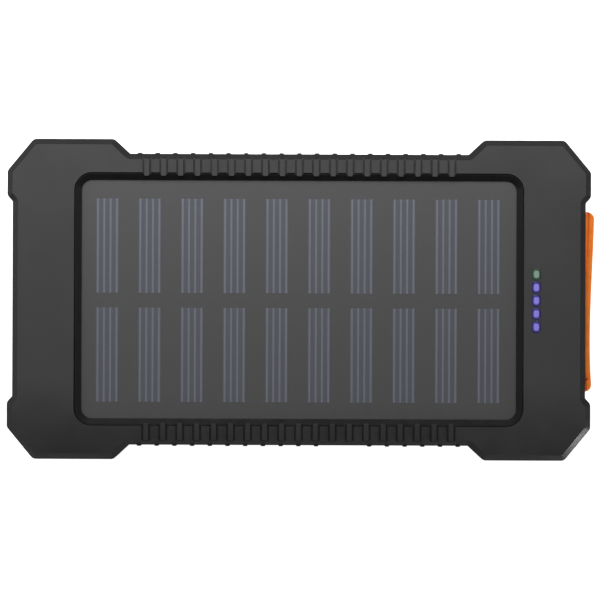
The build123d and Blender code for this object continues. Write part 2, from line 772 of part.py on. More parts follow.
# Four sprung strips lie along the underside of each contact tongue.
with BuildPart() as usb_contacts:
    contact_z = usb_z + usb_inner_height / 2 - usb_tongue_above - usb_tongue_thickness
    contact_x = port_mouth_x - usb_depth + usb_back_depth
    contact_spots = [y + shift for y in usb_y_spots for shift in contact_shifts]
    with BuildSketch(Plane.XY.offset(contact_z)):
        with Locations(*[(contact_x, y) for y in contact_spots]):
            Rectangle(contact_length, contact_width, align=(Align.MIN, Align.CENTER))
    extrude(amount=-contact_thickness)
finish(usb_contacts.part, "usb_contacts")

with BuildPart() as micro_shell:
    with BuildSketch(Plane.YZ.offset(port_mouth_x - micro_depth)) as micro_section:
        with Locations((micro_y, micro_z)):
            Rectangle(micro_width, micro_height)
        chamfer(micro_section.vertices().group_by(Axis.Z)[0], micro_corner)
        offset(amount=-micro_wall, mode=Mode.SUBTRACT)
    extrude(amount=micro_depth)
finish(micro_shell.part, "micro_usb_shell")

with BuildPart() as micro_core:
    with BuildSketch(Plane.YZ.offset(port_mouth_x - micro_depth)):
        with Locations((micro_y, micro_z)):
            Rectangle(micro_width - 2 * micro_corner - 2 * micro_wall, micro_height - 3 * micro_wall)
    extrude(amount=micro_back_depth)
    with BuildSketch(Plane.YZ.offset(port_mouth_x - micro_depth)):
        with Locations((micro_y, micro_z + micro_tongue_thickness / 2)):
            Rectangle(micro_tongue_width, micro_tongue_thickness)
    extrude(amount=micro_depth - micro_tongue_setback)
finish(micro_core.part, "micro_usb_core")

# ---------------------------------------------------------------- silicone port flap
# The flap and its anchor are one strip with a hollow-backed outer face. It is divided at the
# living hinge, and the flap's blunt plugs keep dust and rain out of the ports.
with BuildSketch() as flap_base_plan:
    with Locations(((flap_inner_x + flap_base_x) / 2, (flap_top_y + flap_bottom_y) / 2)):
        Rectangle(flap_base_x - flap_inner_x, flap_top_y - flap_bottom_y)
    fillet(flap_base_plan.vertices().group_by(Axis.X)[-1], flap_step_x)

with BuildSketch() as flap_pad_plan:
    with BuildLine():
        pad_face = Spline(
            *[(end_wall_x + rise, y) for rise, y in zip(flap_face_rises, flap_face_y_spots)]
        )
        Polyline(
            pad_face @ 1,
            (flap_inner_x, flap_face_y_spots[-1]),
            (flap_inner_x, flap_face_y_spots[0]),
            pad_face @ 0,
        )
    make_face()
    fillet(flap_pad_plan.vertices().filter_by(lambda v: v.X > end_wall_x), flap_end_radius)


with BuildPart() as flap_pad:
    with BuildSketch(Plane.XY.offset(flap_centre_z)):
        add(flap_pad_plan.sketch)
    extrude(amount=flap_pad_height / 2, both=True)
    pad_rims = [
        flap_pad.edges().group_by(Axis.Z)[-1].sort_by(Axis.X)[-1],
        flap_pad.edges().group_by(Axis.Z)[0].sort_by(Axis.X)[-1],
    ]
    fillet(pad_rims, flap_edge_radius)


def flap_strip(low_y, high_y):
    """The silicone strip between two places along the port end."""
    with BuildPart() as strip:
        with BuildSketch(Plane.XY.offset(flap_centre_z)):
            add(flap_base_plan.sketch)
        extrude(amount=flap_height / 2, both=True)
        add(flap_pad.part)
        with Locations((end_wall_x, (low_y + high_y) / 2, flap_centre_z)):
            Box(4 * flap_height, high_y - low_y, 2 * flap_height, mode=Mode.INTERSECT)
    return strip.part


with BuildPart() as port_flap:
    add(flap_strip(hinge_y + hinge_gap / 2, flap_top_y))
    with BuildSketch(Plane.YZ.offset(flap_inner_x)):
        with Locations(*[(y, usb_z) for y in usb_y_spots]):
            RectangleRounded(
                usb_inner_width - 2 * plug_gap, usb_inner_height - 2 * plug_gap, usb_plug_corner
            )
    extrude(amount=-usb_plug_depth, taper=plug_taper)
    with BuildSketch(Plane.YZ.offset(flap_inner_x)):
        with Locations((micro_y, micro_z)):
            RectangleRounded(
                micro_width - 2 * micro_wall - 2 * plug_gap,
                micro_height - 2 * micro_wall - plug_gap,
                micro_plug_corner,
            )
    extrude(amount=-micro_plug_depth, taper=plug_taper)
finish(port_flap.part, "port_flap")

with BuildPart() as flap_anchor:
    add(flap_strip(flap_bottom_y, hinge_y - hinge_gap / 2))
    stem_end_x = inside_port_x - fit_gap
    with BuildSketch(Plane.YZ.offset(flap_inner_x)):
        with Locations((anchor_y, flap_centre_z)):
            Rectangle(anchor_stem_width, anchor_stem_height)
    extrude(amount=stem_end_x - flap_inner_x)
    with BuildSketch(Plane.YZ.offset(stem_end_x)):
        with Locations((anchor_y, flap_centre_z)):
            Rectangle(anchor_head_width, anchor_stem_height)
    extrude(amount=-anchor_head_depth)
finish(flap_anchor.part, "flap_anchor")

# ---------------------------------------------------------------- power button
button_face_y = -side_wall_y + button_sink
flange_y = -inside_side_y + slip_gap
with BuildPart() as power_button:
    with BuildSketch(Plane.XZ.offset(-button_face_y)):
        with Locations((button_x, parting_z)):
            RectangleRounded(button_width, button_height, button_radius)
    extrude(amount=button_face_y - flange_y)
    fillet(power_button.faces().sort_by(Axis.Y)[0].edges(), button_edge)
    with BuildSketch(Plane.XZ.offset(-flange_y)):
        with Locations((button_x, parting_z)):
            Rectangle(button_width + 2 * button_flange, button_height + 2 * button_flange)
    extrude(amount=-button_flange_thickness)
finish(power_button.part, "power_button")

plunger_start_y = flange_y + button_flange_thickness
plunger_end_y = plunger_start_y + plunger_reach
switch_face_y = plunger_end_y - 2 * slip_gap
with BuildPart() as switch_plunger:
    with BuildSketch(Plane.XZ.offset(-plunger_start_y)):
        with Locations((button_x, parting_z)):
            Rectangle(plunger_width, plunger_height)
    extrude(amount=plunger_start_y - plunger_end_y)
finish(switch_plunger.part, "switch_plunger")

with BuildPart() as switch_body:
    with BuildSketch(Plane.XZ.offset(-switch_face_y)):
        with Locations((button_x, board_top_z)):
            Rectangle(switch_width, switch_height, align=(Align.CENTER, Align.MIN))
    extrude(amount=-switch_depth)
    with BuildSketch(Plane.XZ.offset(-switch_face_y)):
        with Locations((button_x, parting_z)):
            Rectangle(plunger_width + 2 * slip_gap, plunger_height + 2 * slip_gap)
    extrude(amount=-(3 * slip_gap + button_travel), mode=Mode.SUBTRACT)
finish(switch_body.part, "tact_switch_body")

# ---------------------------------------------------------------- torch in the back
with BuildPart() as torch_lens:
    with BuildSketch(Plane.XY.offset(torch_lens_sink)):
        with Locations((torch_x, 0)):
            SlotOverall(torch_length, torch_width, rotation=90)
    extrude(amount=torch_lens_thickness)
finish(torch_lens.part, "torch_lens")

torch_led_spots = [(torch_x, -torch_led_spacing / 2), (torch_x, torch_led_spacing / 2)]
torch_led_z = board_z - torch_led_height
with BuildPart() as torch_leds:
    with BuildSketch(Plane.XY.offset(torch_led_z)):
        with Locations(*torch_led_spots):
            Rectangle(torch_led_size, torch_led_size)
    extrude(amount=torch_led_height)
finish(torch_leds.part, "torch_leds")

reflector_z = torch_lens_sink + torch_lens_thickness
with BuildPart() as torch_reflector:
    with BuildSketch(Plane.XY.offset(reflector_z)):
        with Locations((torch_x, 0)):
            SlotOverall(
                torch_length - 2 * torch_ledge - 2 * fit_gap,
                torch_width - 2 * torch_ledge - 2 * fit_gap,
                rotation=90,
            )
    extrude(amount=torch_led_z - fit_gap - reflector_z)
    with BuildSketch(Plane.XY.offset(reflector_z)):
        with Locations(*torch_led_spots):
            Circle(torch_cup_mouth / 2)
    extrude(amount=torch_led_z - fit_gap - reflector_z, taper=torch_cup_taper, mode=Mode.SUBTRACT)
finish(torch_reflector.part, "torch_reflector")

# ---------------------------------------------------------------- casing screws
with BuildPart() as case_screws:
    head_bottom_z = screw_seat_z - screw_head_height
    with BuildSketch(Plane.XY.offset(head_bottom_z)):
        with Locations(*screw_spots):
            Circle(screw_head_diameter / 2)
    extrude(amount=screw_head_height)
    fillet(case_screws.faces().group_by(Axis.Z)[0].edges(), screw_head_edge)
    with BuildSketch(Plane.XY.offset(screw_seat_z)):
        with Locations(*screw_spots):
            Circle(screw_diameter / 2)
    extrude(amount=inside_front_z - screw_end_gap - fit_gap - screw_seat_z)
    with BuildSketch(Plane.XY.offset(head_bottom_z)):
        with Locations(*screw_spots):
            Rectangle(recess_width, recess_length)
            Rectangle(recess_length, recess_width)
    extrude(amount=recess_depth, mode=Mode.SUBTRACT)
finish(case_screws.part, "case_screws")


# ---------------------------------------------------------------- internal leads
def lead(route):
    """An insulated lead along straight runs joined by arcs as large as the runs allow."""
    corners = [Vector(*p) for p in route]
    radii = []
    for before, corner, after in zip(corners, corners[1:], corners[2:]):
        half_turn = (corner - before).get_angle(after - corner) / 2
        shorter_run = min((corner - before).length, (after - corner).length)
        radii.append(bend_share * shorter_run / tan(radians(half_turn)))
    with BuildPart() as tube:
        with BuildLine() as path:
            FilletPolyline(*route, radius=radii)
        with BuildSketch(Plane(origin=path.line @ 0, z_dir=path.line % 0)):
            Circle(lead_diameter / 2)
        sweep()
    return tube.part


def battery_lead(y):
    """From the protection board down to the main board."""
    start_z = protection_board_z + protection_board_thickness + lead_diameter / 2
    end_z = board_top_z + lead_diameter / 2
    start_x = battery_end_x + 2 * fit_gap + protection_board_width / 2
    first_x, second_x, last_x = [board_start_x + bend for bend in battery_lead_bends]
    return lead(
        [(start_x, y, start_z), (first_x, y, start_z), (second_x, y, end_z), (last_x, y, end_z)]
    )


def solar_lead(y):
    """From the back of the solar panel through the pocket's floor to the main board."""
    return lead(
        [
            (solar_lead_x, y, backplane_z),
            (solar_lead_x, y, pocket_under_z - solar_lead_drop),
            (solar_lead_x + solar_lead_shift, y, board_top_z + solar_lead_rise),
            (solar_lead_x + solar_lead_shift, y, board_top_z),
        ]
    )


finish(battery_lead(battery_lead_y[0]), "battery_lead_red")
finish(battery_lead(battery_lead_y[1]), "battery_lead_black")
finish(solar_lead(solar_lead_y[0]), "solar_lead_red")
finish(solar_lead(solar_lead_y[1]), "solar_lead_black")
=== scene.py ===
# %% [markdown]
# # A rugged solar phone charger
# The charger is a flat black case with a solar panel in its face, five small indicator lights and
# an orange silicone flap over its ports. The hard pieces come from the CAD frame, which is loaded
# first and never moved. This lesson gives them their finishes, and models what a CAD solid can't:
# the silver lines on the solar cells, and the soft flap with its thinned hinge.

# %% Load the frame
import json
from math import cos, pi, radians, sin, sqrt

import bmesh
import bpy
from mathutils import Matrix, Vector


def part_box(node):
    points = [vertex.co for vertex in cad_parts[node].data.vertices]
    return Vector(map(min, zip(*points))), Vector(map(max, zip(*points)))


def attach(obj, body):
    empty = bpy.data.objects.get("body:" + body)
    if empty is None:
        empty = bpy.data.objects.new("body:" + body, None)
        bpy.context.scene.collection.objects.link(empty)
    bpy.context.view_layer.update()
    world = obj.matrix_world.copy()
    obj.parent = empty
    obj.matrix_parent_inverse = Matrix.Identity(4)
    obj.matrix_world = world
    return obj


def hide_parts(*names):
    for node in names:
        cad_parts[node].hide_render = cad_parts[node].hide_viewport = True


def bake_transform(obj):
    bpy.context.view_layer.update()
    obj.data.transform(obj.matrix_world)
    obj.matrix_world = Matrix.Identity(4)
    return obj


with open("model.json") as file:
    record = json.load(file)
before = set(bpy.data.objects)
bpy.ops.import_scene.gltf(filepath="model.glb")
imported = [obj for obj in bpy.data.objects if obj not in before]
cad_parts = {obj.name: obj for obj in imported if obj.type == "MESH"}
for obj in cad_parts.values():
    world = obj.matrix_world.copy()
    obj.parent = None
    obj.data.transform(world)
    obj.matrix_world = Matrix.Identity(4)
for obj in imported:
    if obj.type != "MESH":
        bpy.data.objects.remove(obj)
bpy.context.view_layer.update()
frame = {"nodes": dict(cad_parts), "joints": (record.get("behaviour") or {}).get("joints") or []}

# %% [markdown]
# All lengths are in metres, as in the frame. One name for a millimetre keeps the sizes readable.
# Places are read from the CAD nodes' boxes, so that nothing has to be fitted by eye.

# %% Units and places
MM = 0.001
face_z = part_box("front_shell")[1].z
cells_low, cells_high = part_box("solar_cells")
flap_low, flap_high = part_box("port_flap")
anchor_low, anchor_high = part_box("flap_anchor")
hinge = next(j for j in frame["joints"] if j["name"] == "flap_hinge")
hinge_point = Vector(hinge["pos_m"])
print("face height in mm:", round(face_z / MM, 2))
print("hinge in mm:", [round(v / MM, 2) for v in hinge_point])

# %% [markdown]
# ## Camera
# A catalogue picture of a flat object is taken from straight above with a long lens, which keeps
# its sides hidden and its outline true. The camera is turned by a fifth of a degree, as the real
# object lies a little askew.

# %% Camera
LENS = 200.0
SENSOR = 36.0
PICTURE_WIDTH = 145.6 * MM  # what fits across the picture at the height of the face
ASKEW = radians(0.22)
AIM = Vector((0.27 * MM, -0.06 * MM, face_z))
camera = bpy.data.objects.new("camera", bpy.data.cameras.new("camera"))
camera.data.lens = LENS
camera.data.sensor_width = SENSOR
camera.data.clip_start = 0.01
camera_distance = PICTURE_WIDTH / 2 / (SENSOR / 2 / LENS)
camera.location = AIM + Vector((0, 0, camera_distance))
camera.rotation_euler = (0, 0, ASKEW)
bpy.context.scene.collection.objects.link(camera)
bpy.context.scene.camera = camera
bpy.context.scene.view_settings.view_transform = "Standard"
print("camera height in mm:", round(camera.location.z / MM, 1))


# %% [markdown]
# ## Helpers
# Colours are picked as sRGB hex values, the way a colour chart gives them, but shaders work in
# linear light. One function turns one into the other. Another adds a node, sets it and links it,
# and gives a colour ramp its two stops.

# %% Colour and node helpers
def linear(hex_code):
    """An sRGB hex colour as linear RGBA."""
    channels = [int(hex_code[i:i + 2], 16) / 255 for i in (1, 3, 5)]
    curve = [c / 12.92 if c <= 0.04045 else ((c + 0.055) / 1.055) ** 2.4 for c in channels]
    return (*curve, 1.0)


def add_node(tree, kind, inputs=None, stops=(), **settings):
    """Adds a node, sets its properties and stops, and fills its inputs with values or links."""
    made = tree.nodes.new(kind)
    for name, value in settings.items():
        setattr(made, name, value)
    for i, (place, colour) in enumerate(stops):
        made.color_ramp.elements[i].position = place
        made.color_ramp.elements[i].color = colour
    for key, value in (inputs or {}).items():
        if isinstance(value, bpy.types.NodeSocket):
            tree.links.new(value, made.inputs[key])
        else:
            made.inputs[key].default_value = value
    return made


def new_material(name):
    """An empty node material with its output node."""
    made = bpy.data.materials.new(name)
    made.use_nodes = True
    made.node_tree.nodes.clear()
    return made, made.node_tree, add_node(made.node_tree, "ShaderNodeOutputMaterial")


NOISE_LOW = 0.3  # nearly all of a noise texture lies between these two values
NOISE_HIGH = 0.7
print("white is", linear("#ffffff"))


# %% [markdown]
# ## Light and floor
# The face of the charger is one flat plane, so a single small lamp would show in it as a hot spot.
# A long strip low behind the upper edge and a wide soft light overhead light it evenly and let it
# fall off gently towards the lower edge. Low lights on the left and the right pick out the bevels,
# two weak ones far out to the sides show in the glossy frame round the panel, and a tiny lamp low
# beside the ports puts a glint on one cut corner. The floor glows a little, so that it stays pale
# under such weak lamps, and it is clear from below, so that the back can be looked at too.

# %% Lights and floor
def soft_light(name, place, size, power, aim=(0, 0, 0)):
    """A rectangular white area light, in metres and watts, that points at its aim."""
    lamp = bpy.data.objects.new(name, bpy.data.lights.new(name, "AREA"))
    lamp.data.shape = "RECTANGLE"
    lamp.data.size, lamp.data.size_y = size
    lamp.data.energy = power
    lamp.location = place
    lamp.rotation_euler = (Vector(aim) - Vector(place)).to_track_quat("-Z", "Y").to_euler()
    bpy.context.scene.collection.objects.link(lamp)
    return lamp


soft_light("key_strip", (-0.008, 0.137, 0.098), (0.34, 0.07), 0.65)
soft_light("overhead_light", (-0.03, 0.05, 1.10), (0.36, 0.30), 0.8)
soft_light("right_light", (0.30, -0.27, 0.075), (0.06, 0.06), 0.85)
soft_light("left_light", (-0.36, 0.04, 0.09), (0.20, 0.16), 0.90)
for side in (-1, 1):
    soft_light("frame_light", (0.60 * side, 0, 0.85), (0.30, 0.30), 0.15)
GLINT_X = 67.8 * MM  # middle of the cut corner below the ports
GLINT_Y = -35.1 * MM
GLINT_SPREAD = radians(24)  # a narrow beam, so that it lights the corner and nothing else
glint = soft_light("corner_light", (GLINT_X + 30 * MM, GLINT_Y - 27 * MM, 10 * MM),
                   (4 * MM, 4 * MM), 0.0014, aim=(GLINT_X, GLINT_Y, 14 * MM))
glint.data.spread = GLINT_SPREAD

# %% World and floor
WORLD_STRENGTH = 0.10
world = bpy.data.worlds.new("studio")
world.use_nodes = True
world.node_tree.nodes["Background"].inputs["Color"].default_value = linear("#ffffff")
world.node_tree.nodes["Background"].inputs["Strength"].default_value = WORLD_STRENGTH
bpy.context.scene.world = world

FLOOR_HALF = 1.5
FLOOR_GLOW = 0.9
FLOOR_Z = -0.05 * MM  # a hair below the back face, so that the two never coincide
floor_mesh = bpy.data.meshes.new("floor")
floor_corners = [
    (x * FLOOR_HALF, y * FLOOR_HALF, FLOOR_Z) for x, y in ((-1, -1), (1, -1), (1, 1), (-1, 1))
]
floor_mesh.from_pydata(floor_corners, [], [(0, 1, 2, 3)])
floor = bpy.data.objects.new("floor", floor_mesh)
bpy.context.scene.collection.objects.link(floor)
paper, tree, out = new_material("white_paper_sweep")
shader = add_node(tree, "ShaderNodeBsdfPrincipled", {
    "Base Color": linear("#cfcfce"), "Roughness": 0.9, "Specular IOR Level": 0.1,
    "Emission Color": linear("#ffffff"), "Emission Strength": FLOOR_GLOW,
})
underside = add_node(tree, "ShaderNodeNewGeometry").outputs["Backfacing"]
clear = add_node(tree, "ShaderNodeBsdfTransparent")
one_sided = add_node(tree, "ShaderNodeMixShader", {
    "Fac": underside, 1: shader.outputs[0], 2: clear.outputs[0],
})
tree.links.new(one_sided.outputs[0], out.inputs["Surface"])
floor.data.materials.append(paper)
print("floor at z in mm:", round(FLOOR_Z / MM, 2))


# %% [markdown]
# ## Case plastic
# The case is injection-moulded ABS, black right through, from a spark-eroded mould. That gives a
# fine, even, matt grain: the eye sees a dark grey, because the grain scatters a little of the
# light. The bevels and side walls shine less, and their darker colour is painted shade. A grain
# of 0.15 mm is finer than a render shows, so it is drawn twice as coarse, with a soft cloud mixed
# in. A wide moulded face also sinks a little towards its edge: a slight curve in the normals lets
# the lower part of the face turn away from the light.

# %% Sizes and shares of the case plastic
GRAIN = 0.15 * MM
BLOTCH = 9.0 * MM
CLOUD_LOW = (0.86, 0.86, 0.86, 1)  # what the cloud multiplies the colour with
CLOUD_HIGH = (1.12, 1.11, 1.11, 1)
CROWN_START = 20 * MM  # the face starts to fall away this far below the middle line
CROWN_RADIUS = 80 * MM
ABS_ROUGHNESS = 0.42
FACE_SHINE = 0.5
SIDE_SHINE = 0.05
FACE_STARTS = 0.75  # how upright a surface is where the face's finish begins to take over
FACE_FULL = 0.95
print("grain in mm:", round(2 * GRAIN / MM, 2), "and cloud in mm:", round(BLOTCH / MM, 2))


# %% Moulded ABS
def moulded_abs(name, face_hex, shaded_side_hex):
    """Moulded black ABS: a grained face; its bevels and sides shine less and carry painted shade."""
    made, tree, out = new_material(name)
    place = add_node(tree, "ShaderNodeTexCoord").outputs["Object"]
    grain = add_node(tree, "ShaderNodeTexNoise", {
        "Vector": place, "Scale": 1 / GRAIN / 2, "Detail": 3.0, "Roughness": 0.6,
    }).outputs["Fac"]
    blotch = add_node(tree, "ShaderNodeTexNoise", {
        "Vector": place, "Scale": 1 / BLOTCH, "Detail": 4.0,
    }).outputs["Fac"]
    normal = add_node(tree, "ShaderNodeNewGeometry").outputs["True Normal"]
    upright = add_node(tree, "ShaderNodeSeparateXYZ", {"Vector": normal}).outputs["Z"]
    level = add_node(tree, "ShaderNodeMath", {0: upright}, operation="ABSOLUTE").outputs[0]
    on_face = add_node(tree, "ShaderNodeMapRange", {
        "Value": level, "From Min": FACE_STARTS, "From Max": FACE_FULL,
    }).outputs["Result"]
    # Bevels and sides get the darker colour: painted shade.
    base = add_node(tree, "ShaderNodeMix", {
        "Factor": on_face, 6: linear(shaded_side_hex), 7: linear(face_hex),
    }, data_type="RGBA").outputs[2]
    cloud = add_node(tree, "ShaderNodeValToRGB", {"Fac": blotch}, stops=(
        (NOISE_LOW, CLOUD_LOW), (NOISE_HIGH, CLOUD_HIGH),
    )).outputs["Color"]
    colour = add_node(tree, "ShaderNodeMix", {
        "Factor": 1.0, 6: base, 7: cloud,
    }, data_type="RGBA", blend_type="MULTIPLY").outputs[2]
    rough = add_node(tree, "ShaderNodeMapRange", {
        "Value": blotch, "From Min": NOISE_LOW, "From Max": NOISE_HIGH,
        "To Min": ABS_ROUGHNESS - 0.04, "To Max": ABS_ROUGHNESS + 0.04,
    }).outputs["Result"]
    shine = add_node(tree, "ShaderNodeMapRange", {
        "Value": on_face, "To Min": SIDE_SHINE, "To Max": FACE_SHINE,
    }).outputs["Result"]
    side = add_node(tree, "ShaderNodeSeparateXYZ", {"Vector": place}).outputs["Y"]
    below = add_node(tree, "ShaderNodeMath", {0: -CROWN_START, 1: side}, operation="SUBTRACT")
    past = add_node(tree, "ShaderNodeMath", {0: below.outputs[0], 1: 0.0}, operation="MAXIMUM")
    square = add_node(tree, "ShaderNodeMath", {
        0: past.outputs[0], 1: past.outputs[0],
    }, operation="MULTIPLY")
    drop = add_node(tree, "ShaderNodeMath", {
        0: square.outputs[0], 1: -0.5 / CROWN_RADIUS,
    }, operation="MULTIPLY")
    crown = add_node(tree, "ShaderNodeBump", {
        "Height": drop.outputs[0], "Strength": 1.0, "Distance": 1.0,
    })
    bump = add_node(tree, "ShaderNodeBump", {
        "Height": grain, "Strength": 0.25, "Distance": 0.03 * MM, "Normal": crown.outputs["Normal"],
    }).outputs["Normal"]
    shader = add_node(tree, "ShaderNodeBsdfPrincipled", {
        "Base Color": colour, "Roughness": rough, "Normal": bump,
        "IOR": 1.53, "Specular IOR Level": shine,
    })
    tree.links.new(shader.outputs[0], out.inputs["Surface"])
    return made


# The second colour, #111112, is the bevels' and sides' painted shade.
case_abs = moulded_abs("moulded_abs_black", "#272727", "#111112")
button_abs = moulded_abs("moulded_abs_button", "#222223", "#222223")
print("case and button materials:", case_abs.name, button_abs.name)


# %% [markdown]
# ## General finishes
# Most small pieces need a colour with some variation, a roughness with some variation, and a
# little bump. One function makes them all from what the real material is, and each call says which
# one it is and how large its pattern is.

# %% One function for the general finishes
def finish(name, low_hex, high_hex, pattern, roughness, spread=0.05, bump=0.02, metallic=0.0,
           stretch=(1, 1, 1), **sockets):
    """A finish that drifts with a noise: pattern is its size in metres, bump its height in mm."""
    made, tree, out = new_material(name)
    place = add_node(tree, "ShaderNodeTexCoord").outputs["Object"]
    mapped = add_node(tree, "ShaderNodeMapping", {"Vector": place, "Scale": stretch}).outputs[0]
    noise = add_node(tree, "ShaderNodeTexNoise", {
        "Vector": mapped, "Scale": 1 / pattern, "Detail": 4.0, "Roughness": 0.55,
    }).outputs["Fac"]
    colour = add_node(tree, "ShaderNodeValToRGB", {"Fac": noise}, stops=(
        (NOISE_LOW, linear(low_hex)), (NOISE_HIGH, linear(high_hex)),
    )).outputs["Color"]
    rough = add_node(tree, "ShaderNodeMapRange", {
        "Value": noise, "From Min": NOISE_LOW, "From Max": NOISE_HIGH,
        "To Min": roughness - spread, "To Max": roughness + spread,
    }).outputs["Result"]
    relief = add_node(tree, "ShaderNodeBump", {
        "Height": noise, "Strength": 0.3, "Distance": bump * MM,
    }).outputs["Normal"]
    shader = add_node(tree, "ShaderNodeBsdfPrincipled", {
        "Base Color": colour, "Roughness": rough, "Normal": relief, "Metallic": metallic,
    })
    for key, value in sockets.items():
        shader.inputs[key.replace("_", " ")].default_value = value
    tree.links.new(shader.outputs[0], out.inputs["Surface"])
    return made


# ABS from a polished mould, round the panel: nearly black, with a soft-edged reflection.
bezel_gloss = finish("polished_abs_black", "#09090a", "#0d0d0e", 3 * MM, 0.32, 0.03, 0.004,
                     Specular_IOR_Level=0.3)
# Green solder mask on the epoxy-glass boards: a thin lacquer, dark green and fairly shiny.
board_mask = finish("solder_mask_green", "#0c3d22", "#125231", 1.5 * MM, 0.32, 0.06, 0.01)
# Nickel-plated steel of the port shells: a cool grey shine, drawn out along the port's depth.
port_steel = finish("nickel_plated_steel", "#b9b8b2", "#d4d3ce", 0.4 * MM, 0.26, 0.06, 0.004,
                    metallic=1.0, stretch=(0.15, 1, 1))
# Gold flash over nickel on the sprung contacts: small, clean and yellow.
contact_gold = finish("gold_flash", "#d9a441", "#e8bd62", 0.5 * MM, 0.22, 0.05, 0.002, metallic=1.0)
# Glass-filled nylon of the port cores: an off-white with a dull sheen from its fibres.
core_nylon = finish("glass_filled_nylon", "#e4e3de", "#efeeea", 0.8 * MM, 0.48, 0.06, 0.01)
# Epoxy moulding compound of the chips: a dry, sooty black.
chip_epoxy = finish("epoxy_mould_compound", "#161617", "#202021", 0.3 * MM, 0.6, 0.06, 0.01)
# Sintered ferrite of the inductor: dark grey and slightly gritty.
ferrite = finish("sintered_ferrite", "#2b2b2e", "#3a3a3d", 0.3 * MM, 0.66, 0.06, 0.02)
# Fired ceramic of the capacitors: tan, and even all over.
capacitor = finish("fired_ceramic_tan", "#8c6a47", "#a17c56", 0.4 * MM, 0.5, 0.06, 0.01)
# Laminated aluminium foil of the battery pouches: a bright skin with soft, wide wrinkles.
pouch_foil = finish("laminated_foil", "#b4b6ba", "#cfd1d4", 7 * MM, 0.34, 0.07, 0.15, metallic=0.9)
# Closed-cell foam of the pads: cells of 0.4 mm swallow the light, so it looks flat black.
foam = finish("closed_cell_foam", "#17171a", "#28282b", 0.4 * MM, 0.9, 0.05, 0.08)
# Tissue tape behind the panel: a dull white with a papery drift.
tape = finish("tissue_tape", "#cfcdc4", "#dddbd3", 1.2 * MM, 0.75, 0.06, 0.02)
# Blackened steel of the screws: a dark metal with a satin shine.
screw_steel = finish("blackened_steel", "#3c3c3f", "#55555a", 0.6 * MM, 0.36, 0.07, 0.006,
                     metallic=1.0)
# PVC insulation of the leads: plain colour with a waxy shine.
lead_red = finish("pvc_insulation_red", "#8f1712", "#ab2018", 1.0 * MM, 0.42, 0.06, 0.01)
lead_black = finish("pvc_insulation_black", "#131314", "#1c1c1e", 1.0 * MM, 0.42, 0.06, 0.01)
# Vacuum-metallised ABS behind the torch: close to a mirror.
reflector = finish("metallised_abs", "#c9cacc", "#dededf", 2.0 * MM, 0.18, 0.04, 0.003,
                   metallic=1.0)
# Phosphor in silicone over the diodes: yellow when they are off.
diode = finish("phosphor_silicone", "#d9c85e", "#e8dc86", 0.6 * MM, 0.4, 0.05, 0.01)
# Grey nylon of the push switch: plain and dull.
switch_nylon = finish("grey_nylon", "#3d3d40", "#4b4b4e", 0.7 * MM, 0.5, 0.05, 0.01)
# Black backsheet behind the cells: the frosted film over it lifts it to a dark grey.
backsheet = finish("black_backsheet", "#353536", "#3c3c3d", 5 * MM, 0.5, 0.05, 0.01)
print("general finishes made:", len(bpy.data.materials))

# %% [markdown]
# ## Solar panel
# A small panel is strips of blue-grey silicon on a black backsheet, under a frosted PET film. The
# film's frosting scatters light, which is why the panel looks grey and soft and why the cells show
# so faintly. The film is part clear and part frosted: its alpha is the share of it that scatters.

# %% Frosted film
FROST_SHARE = 0.55
FROST_GRAIN = 0.5 * MM
film, tree, out = new_material("frosted_pet_film")
place = add_node(tree, "ShaderNodeTexCoord").outputs["Object"]
frost = add_node(tree, "ShaderNodeTexNoise", {
    "Vector": place, "Scale": 1 / FROST_GRAIN, "Detail": 3.0,
}).outputs["Fac"]
haze = add_node(tree, "ShaderNodeValToRGB", {"Fac": frost}, stops=(
    (NOISE_LOW, linear("#4f4f50")), (NOISE_HIGH, linear("#555556")),
)).outputs["Color"]
relief = add_node(tree, "ShaderNodeBump", {
    "Height": frost, "Strength": 0.06, "Distance": 0.002 * MM,
}).outputs["Normal"]
shader = add_node(tree, "ShaderNodeBsdfPrincipled", {
    "Base Color": haze, "Roughness": 0.42, "IOR": 1.57, "Alpha": FROST_SHARE,
    "Specular IOR Level": 0.25, "Normal": relief,
})
tree.links.new(shader.outputs[0], out.inputs["Surface"])
print("film scatters", FROST_SHARE, "of the light")

# %% [markdown]
# Silicon for solar cells is etched so that it reflects little, and a nitride coat makes it a dull
# blue. Its faint streaks run along the cells. The lines on it are silver paste, printed and fired:
# pale, with a slight blue cast, and not as bright as polished metal.

# %% Silicon and silver paste
STREAK = 0.8 * MM
STREAK_STRETCH = (1, 0.08, 1)
silicon, tree, out = new_material("textured_silicon")
place = add_node(tree, "ShaderNodeTexCoord").outputs["Object"]
streaks = add_node(tree, "ShaderNodeMapping", {"Vector": place, "Scale": STREAK_STRETCH}).outputs[0]
grain = add_node(tree, "ShaderNodeTexNoise", {
    "Vector": streaks, "Scale": 1 / STREAK, "Detail": 3.0,
}).outputs["Fac"]
blue = add_node(tree, "ShaderNodeValToRGB", {"Fac": grain}, stops=(
    (NOISE_LOW, linear("#293753")), (NOISE_HIGH, linear("#2f3f5d")),
)).outputs["Color"]
shader = add_node(tree, "ShaderNodeBsdfPrincipled", {
    "Base Color": blue, "Roughness": 0.36, "IOR": 2.0, "Coat Weight": 0.1, "Coat Roughness": 0.2,
})
tree.links.new(shader.outputs[0], out.inputs["Surface"])
silver = finish("fired_silver_paste", "#99a1b5", "#a7afc3", 0.4 * MM, 0.45, 0.05, 0.004,
                metallic=0.3)
print("cell materials:", silicon.name, silver.name)

# %% [markdown]
# Each cell has a thin blue coat against reflections, and on it four silver lines that collect the
# current. With twenty cells they are a job for Geometry Nodes: a grid of points for the cells, a
# thin slab on each for its coat, and a short row of points on each that carries one bar per line.
# The tree's sizes are named inputs.

